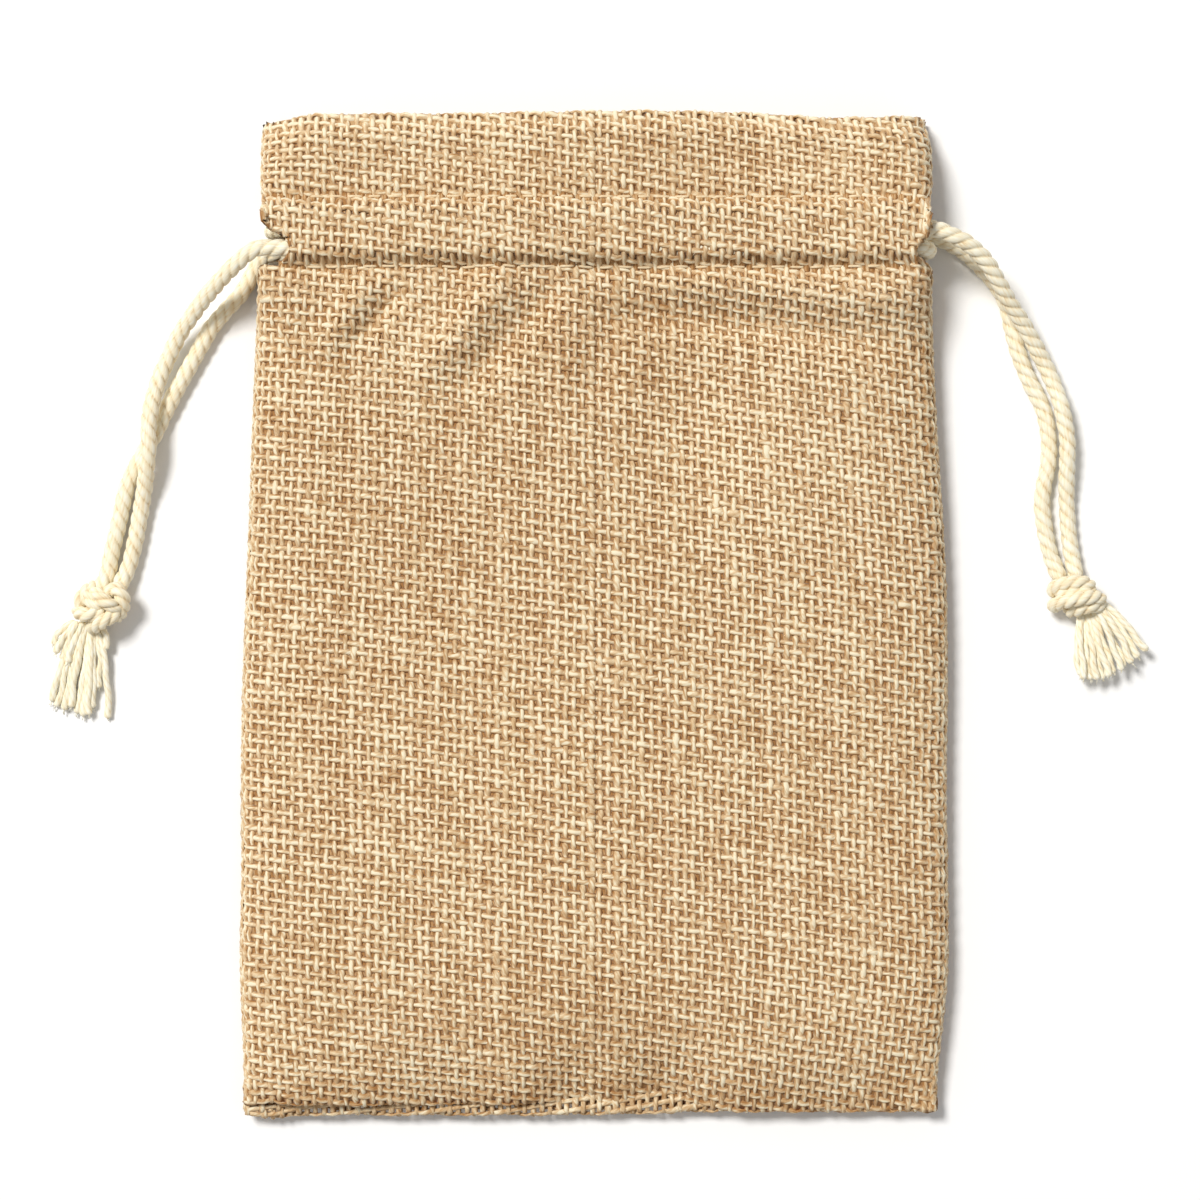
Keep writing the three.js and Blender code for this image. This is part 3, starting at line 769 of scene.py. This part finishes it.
def folded(across, along, front):
    inside = np.clip(along, 0, LENGTH)
    y = BOTTOM_Y + inside
    right = across > 0
    sign = np.where(right, 1.0, -1.0)
    edge = edge_across(right, y)
    u = sign * np.minimum(np.abs(across), edge) / HALF_ACROSS
    past_side = np.maximum(np.abs(across) - edge, 0)
    past_bottom = np.maximum(-along, 0)
    past_top = np.maximum(along - LENGTH, 0)
    lip = LIP * at_slit(right, y) * np.abs(u) ** 8
    x = u * half_width(right, y) - sign * lip
    y = y + bottom_lift(x, inside, front)
    mouth = mouth_dip(x) * smooth((y - UPPER_ROW_Y) / (TOP_Y - UPPER_ROW_Y))
    if front:
        z = front_height(u, y)
        turn, flat = round_fold(past_side, FRONT_FOLD, math.pi / 2)
        x = x - sign * (FRONT_FOLD * (1 - np.cos(turn)) + flat)
        z = z - FRONT_FOLD * np.sin(turn)
        turn, flat = round_fold(past_bottom, FRONT_FOLD, math.pi / 2)
        y = y + FRONT_FOLD * (1 - np.cos(turn)) + flat
        z = z - FRONT_FOLD * np.sin(turn)
        y = y + 0.5 * MM * bell(x, -45.5 * MM, 1.8 * MM) * smooth(1 - inside / (4 * MM))
        up = -1.0
    else:
        z = BACK_Z + 0.25 * MM * np.abs(u) ** 12 + ROLL_Z * smooth(1 - inside / (8 * MM)) ** 2
        turn, flat = round_fold(past_side, BACK_FOLD, math.pi)
        x = x + sign * (BACK_FOLD * np.sin(turn) - flat - 0.1 * MM)
        z = z + BACK_FOLD * (1 - np.cos(turn))
        turn, flat = round_fold(past_bottom, BACK_FOLD, math.pi)
        y = y - BACK_FOLD * np.sin(turn) + flat
        z = z + BACK_FOLD * (1 - np.cos(turn))
        up = 1.0
    turn, flat = round_fold(past_top, MOUTH_FOLD, math.pi)
    y = y + mouth + MOUTH_FOLD * np.sin(turn) - flat
    if front:
        under = front_height(u, y, 0.0) - 0.3 * MM
        z = z + (under - z) * smooth(flat / (5 * MM))
    z = z + up * MOUTH_FOLD * (1 - np.cos(turn))
    ramp = 1.6 * MM
    channel = smooth((y - LOWER_ROW_Y) / ramp) * smooth((UPPER_ROW_Y - y) / ramp) * (flat > 0)
    z = z + channel * ((HEM_Z - z) if front else 2.7 * MM)
    return np.stack([x, y, z], axis=-1)


def in_cloth(across, along):
    """Where there is cloth: the corners of the allowances and hem are cut away, and the
    allowances are short at the slits."""
    depth = slit_depth(across > 0, BOTTOM_Y + along)
    short = 0.8 * MM - depth * HALF_ACROSS / BELLY_HALF
    beyond = np.where(at_slit(across > 0, BOTTOM_Y + along) + depth > 0, short, ALLOWANCE)
    across = np.abs(across)
    in_panel = (along >= 0) & (along <= LENGTH) & (across <= HALF_ACROSS + beyond)
    past_end = np.maximum(along - LENGTH, -along)
    over_end = (past_end > 0) & (past_end <= FOLD_LENGTH) & (across <= HALF_ACROSS)
    folded_ends = (along >= -ALLOWANCE) & (along <= LENGTH + HEM_LENGTH)
    return in_panel | over_end | (folded_ends & (across <= HEM_SHARE * HALF_ACROSS))


def weft_drop(across):
    """How far a weft yarn has dropped at a place across the cloth: the weave is skewed."""
    place = np.linspace(-1.2, 1.2, 121)
    slope = 0.10 + 0.06 * smooth(place + 1) + 0.03 * smooth(place)
    drop = np.concatenate([[0], np.cumsum((slope[1:] + slope[:-1]) / 2 * np.diff(place))])
    return np.interp(across / HALF_ACROSS, place, drop * HALF_ACROSS)


PROBE = 0.15 * MM  # how far to each side a surface's slope is measured


def surface_up(surface, across, along, outward):
    step_across = surface(across + PROBE, along) - surface(across - PROBE, along)
    step_along = surface(across, along + PROBE) - surface(across, along - PROBE)
    return unit(np.cross(step_across, step_along)) * outward


def spread(surface, across, along):
    """How far apart the warp yarns lie, next to their pitch: more at the steep sides."""
    step = surface(across + PROBE, along) - surface(across - PROBE, along)
    return np.clip(np.linalg.norm(step, axis=-1) / (2 * PROBE), 1, 2)


def runs(keep, least=3):
    """The stretches of a yarn that lie in the cloth, as slices."""
    edges = np.flatnonzero(np.diff(np.concatenate([[0], keep.astype(int), [0]])))
    return [slice(a, b) for a, b in zip(edges[::2], edges[1::2]) if b - a >= least]


def slubs(along, per_metre):
    """Thick places that come at random along a yarn."""
    total = np.zeros_like(along)
    for _ in range(random.poisson(abs(along[-1] - along[0]) * per_metre)):
        place = random.uniform(along.min(), along.max())
        total += random.uniform(0.1, 0.35) * bell(along, place, random.uniform(1.5, 5) * MM)
    return total


# Patches of painted light and painted shade, where the cloth's folds and slopes are lit or
# shaded, in millimetres: middle, reach each way, tint.
PAINTED_LIGHT_AND_SHADE_PATCHES = [
    (2, 38, 14, 9, -0.10), (-24, 8, 15, 22, -0.05), (-5, -58, 15, 8, -0.12),
    (18, 63, 11, 5, -0.09), (27, 18, 14, 18, 0.06), (-25, 36, 5, 4, 0.08),
    (10, 56.3, 24, 1.2, 0.08), (-40, 20, 6, 5, 0.05), (33, -52, 9, 8, 0.04),
]


def painted_light_and_shade(x, y):
    """Painted light and shade on the front cloth from place to place. It is painted paler along
    the mouth's lit edge and darker in a ragged band of painted shade along the bottom edge."""
    total = 0.12 * smooth((y - TOP_Y + 3.5 * MM) / (2 * MM))
    for middle_x, middle_y, reach_x, reach_y, tint in PAINTED_LIGHT_AND_SHADE_PATCHES:
        total = total + tint * (bell(x, middle_x * MM, reach_x * MM)
                                * bell(y, middle_y * MM, reach_y * MM))
    ragged = 4.6 + 1.3 * np.sin(x / (3.1 * MM)) + 0.9 * np.sin(x / (7.3 * MM) + 1)
    return total - 0.16 * smooth((ragged * MM - (y - BOTTOM_Y)) / (2.5 * MM))


def add_lint_and_hole_shade(tubes, surface, outward, across, along):
    """Short fibres between two warp yarns: they close the holes of the weave, and their dark
    colour is partly painted shade for the holes.
    """
    up = surface_up(surface, across, along, outward)
    line = surface(across, along) - LINT_DEPTH * up
    apart = spread(surface, across, along)
    tint = LINT_AND_HOLE_SHADE_TINT + painted_light_and_shade(line[:, 0], line[:, 1])[:, None] + np.zeros(4)
    tint = tint + 0.1 * (apart[:, None] - 1)
    for stretch in runs(in_cloth(across, along)):
        rings = sweep(line[stretch], up[stretch], LINT_REACH * apart[stretch], LINT_THICK,
                      LINT_SECTION)
        places = fibre_places(along[stretch], LINT_SECTION, WARP_WIDTH, 0, 0.45, 0.0)
        tubes.add(rings, tint[stretch], places)


def add_yarn(tubes, surface, outward, across, along, rise, measure, width, tint):
    """One yarn over a surface, in the stretches where there is cloth. Its crest is painted
    lighter than its sides, and it is painted lighter still where it comes up over the others and
    darker where it dips under: painted light and shade."""
    line = surface(across, along)
    up = surface_up(surface, across, along, outward)
    line = line + up * rise[:, None]
    front = outward > 0
    section = VISIBLE_SECTION if front else HIDDEN_SECTION
    swell = 1 + wander(measure, 0.10, (3.1 * MM, 7 * MM, 19 * MM)) + slubs(measure, 12.0)
    # Painted light and shade: lighter where the yarn rises over a crossing, darker where it dips.
    shade = tint + wander(measure, 0.08, (2.3 * MM, 4.7 * MM, 13 * MM)) + 0.12 * rise / CRIMP
    if front:
        # The painted light and shade of the cloth's folds, mouth and bottom edge.
        shade = shade + painted_light_and_shade(line[:, 0], line[:, 1])
    # Each corner of the section adds its painted highlight or painted shade.
    shade = shade[:, None] + (VISIBLE_PAINTED_SHADING if front else HIDDEN_PAINTED_SHADING)
    offset = random.uniform(0, 90, 3)
    for stretch in runs(in_cloth(across, along)):
        rings = sweep(line[stretch], up[stretch], width / 2 * swell[stretch],
                      YARN_THICK / 2 * swell[stretch] ** 0.5, section)
        rough = random.normal(1, 0.07, rings.shape[:2])[..., None]
        rings = line[stretch][:, None] + (rings - line[stretch][:, None]) * rough
        places = fibre_places(measure[stretch], section, width / 2, 1.2 / MM, 0.45, offset)
        tubes.add(rings, shade[stretch], places)


def lay_warp(surface, outward, right, per_crossing):
    """The warp yarns of one half of a panel, and on the front the lint between them, dark as
    partly painted shade.
    """
    side = 1 if right else -1
    front = outward > 0
    warp = Tubes()
    lint = Tubes()
    ends = warp_count()
    spots = [(number + 0.5) * WARP_PITCH for number in range(ends)]
    if front:
        spots += WALL_SPOTS
    for number, spot in enumerate(spots):
        in_wall = number >= ends
        place = side * spot
        parity = number if right else -number - 1
        drop = weft_drop(place)
        first = math.floor((-ALLOWANCE + drop) / WEFT_PITCH) - 1
        last = math.ceil((LENGTH + HEM_LENGTH + drop) / WEFT_PITCH) + 1
        picks = np.arange(first * per_crossing, last * per_crossing + 1) / per_crossing
        along = picks * WEFT_PITCH - drop
        rise = CRIMP * np.cos(math.pi * (picks + parity))
        loose = 0.003 * MM if in_wall else 0.10 * MM
        across = place + wander(along, loose, (9 * MM, 23 * MM, 47 * MM))
        add_yarn(warp, surface, outward, across, along, rise, along,
                 WARP_WIDTH * random.normal(1, 0.09), random.normal(0.40, 0.05))
        if not front or in_wall:
            continue
        strip = slice(None, None, per_crossing)
        beside = side * WARP_PITCH / 2
        add_lint_and_hole_shade(lint, surface, outward, across[strip] + beside, along[strip])
        if number == 0:
            add_lint_and_hole_shade(lint, surface, outward, across[strip] - beside, along[strip])
    return warp, lint


def lay_weft(surface, outward, right, per_crossing):
    """The weft yarns of one half of a panel. Those of the other half carry them on."""
    side = 1 if right else -1
    weft = Tubes()
    low_pick = math.floor(-ALLOWANCE / WEFT_PITCH) - 1
    high_pick = math.ceil((LENGTH + HEM_LENGTH + weft_drop(2 * HALF_ACROSS)) / WEFT_PITCH) + 1
    for pick in range(low_pick, high_pick):
        numbers = np.arange(0, warp_count() * per_crossing + 1) / per_crossing
        across = side * numbers * WARP_PITCH
        own = np.random.default_rng(pick + 5000)
        along = pick * WEFT_PITCH - weft_drop(across)
        along = along + 0.09 * MM * np.sin(across / (6 * MM) + own.uniform(0, TAU))
        along = along + 0.07 * MM * np.sin(across / (2.6 * MM) + own.uniform(0, TAU))
        rise = -0.8 * CRIMP * np.cos(math.pi * (side * numbers - 0.5 + pick)) + 0.04 * MM
        add_yarn(weft, surface, outward, across, along, rise, np.abs(across),
                 WEFT_WIDTH * own.normal(1, 0.08), own.normal(0.43, 0.05))
    return weft


def warp_count():
    return math.ceil((HALF_ACROSS + ALLOWANCE) / WARP_PITCH)


def weave(name, surface, outward, right, per_crossing):
    """One half of a panel as two or three pieces: warp, weft and the front's lint, dark as partly
    painted shade.
    """
    warp, lint = lay_warp(surface, outward, right, per_crossing)
    weft = lay_weft(surface, outward, right, per_crossing)
    pieces = [warp.make(f"{name}_warp", cloth_yarn), weft.make(f"{name}_weft", cloth_yarn)]
    if outward > 0:
        pieces.append(lint.make(f"{name}_lint", cloth_yarn))
    return pieces


def gather(piece):
    """Bakes the piece's place into its mesh."""
    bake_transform(piece)


STANDS_FOR = {
    "front_left_warp": ["front_panel", "front_hem"],
    "front_left_weft": ["bottom_seam"],
    "back_left_warp": ["back_panel", "back_hem"],
    "back_left_weft": ["left_side_seam", "left_header_seam"],
    "back_right_warp": ["right_side_seam", "right_header_seam"],
}
for panel, surface, outward, per_crossing in (
    ("back", back_cloth, -1.0, 2),
    ("front", front_cloth, 1.0, 3),
):
    for side in ("left", "right"):
        pieces = weave(f"{panel}_{side}", surface, outward, side == "right", per_crossing)
        for piece in pieces:
            gather(piece)
            if piece.name in STANDS_FOR:
                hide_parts(*STANDS_FOR[piece.name])


# ---------------------------------------------------------------- stitching
THREAD_SECTION = oval(8)


def stitch_row(tubes, surface, outward, along, side, stitch=2.4 * MM, gap=0.45 * MM):
    """Machine stitches across one half of the channel."""
    radius = 0.2 * MM
    sign = 1 if side == "right" else -1
    start = 0.3 * MM
    while start + stitch < HEM_SHARE * HALF_ACROSS:
        length = stitch * random.uniform(0.92, 1.06)
        t = np.linspace(0, 1, 9)
        across = sign * (start + length * t)
        place = along + wander(t, 0.06 * MM, (1.3, 2.1))
        line = surface(across, place)
        up = surface_up(surface, across, place, outward)
        sunk = 0.36 * MM - 0.55 * MM * np.abs(2 * t - 1) ** 4
        line = line + up * sunk[:, None]
        rings = sweep(line, up, radius, radius * 0.85, THREAD_SECTION)
        places = fibre_places(run_length(line), THREAD_SECTION, radius, 5 / MM, 0.5,
                              random.uniform(0, 90, 3))
        # The thread is painted lighter on top and darker underneath: painted light and shade.
        tubes.add(rings, 0.66 + 0.22 * THREAD_SECTION[:, 1], places)
        start += length + gap


def hem_place(y):
    """Along the cloth to a height on the hem, past the fold at the mouth."""
    return LENGTH + MOUTH_FOLD * math.pi + (TOP_Y - y)


for panel, surface, outward in (("front", front_cloth, 1.0), ("back", back_cloth, -1.0)):
    for row, y in (("upper", UPPER_ROW_Y), ("lower", LOWER_ROW_Y)):
        for side in ("left", "right"):
            tubes = Tubes()
            stitch_row(tubes, surface, outward, y - BOTTOM_Y, side)
            stitch_row(tubes, surface, outward, hem_place(y), side)
            piece = tubes.make(f"{panel}_{row}_{side}_stitches", sewing_thread)
            gather(piece)
            if side == "left":
                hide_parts(f"{panel}_{row}_stitching")


def seam_stitches(name, route):
    """A line of small stitches through the two layers of a seam."""
    tubes = Tubes()
    line = even(np.array(route), 1.0 * MM)
    for a, b in zip(line[:-1:3], line[2::3]):
        t = np.linspace(0, 1, 7)[:, None]
        stitch = a + (b - a) * t
        stitch[:, 2] += 0.25 * MM * np.sin(t[:, 0] * math.pi)
        rings = sweep(stitch, np.array([0, 0, 1.0]), 0.2 * MM, 0.18 * MM, THREAD_SECTION)
        tubes.add(rings, np.full(rings.shape[:2], 0.6), rings / MM)
    piece = tubes.make(name, sewing_thread)
    gather(piece)
    return piece


SEAM_Z = 1.5 * MM
SEAM_INSET = 1.4 * MM
for side, sign in (("left", -1), ("right", 1)):
    route = [(sign * (float(half_width(sign > 0, y)) - SEAM_INSET), y, SEAM_Z)
             for y in np.linspace(BOTTOM_Y + 2 * MM, 46 * MM, 24)]
    piece = seam_stitches(f"{side}_seam_stitches", route)
    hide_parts(f"{side}_seam_thread")
for side, sign in (("left", -1), ("right", 1)):
    route = [(sign * 0.4 * MM, BOTTOM_Y + SEAM_INSET, SEAM_Z),
             (sign * 46.5 * MM, BOTTOM_Y + SEAM_INSET, SEAM_Z)]
    piece = seam_stitches(f"bottom_{side}_seam_stitches", route)
    if side == "left":
        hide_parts("bottom_seam_thread")

# ---------------------------------------------------------------- the end
bpy.context.view_layer.update()
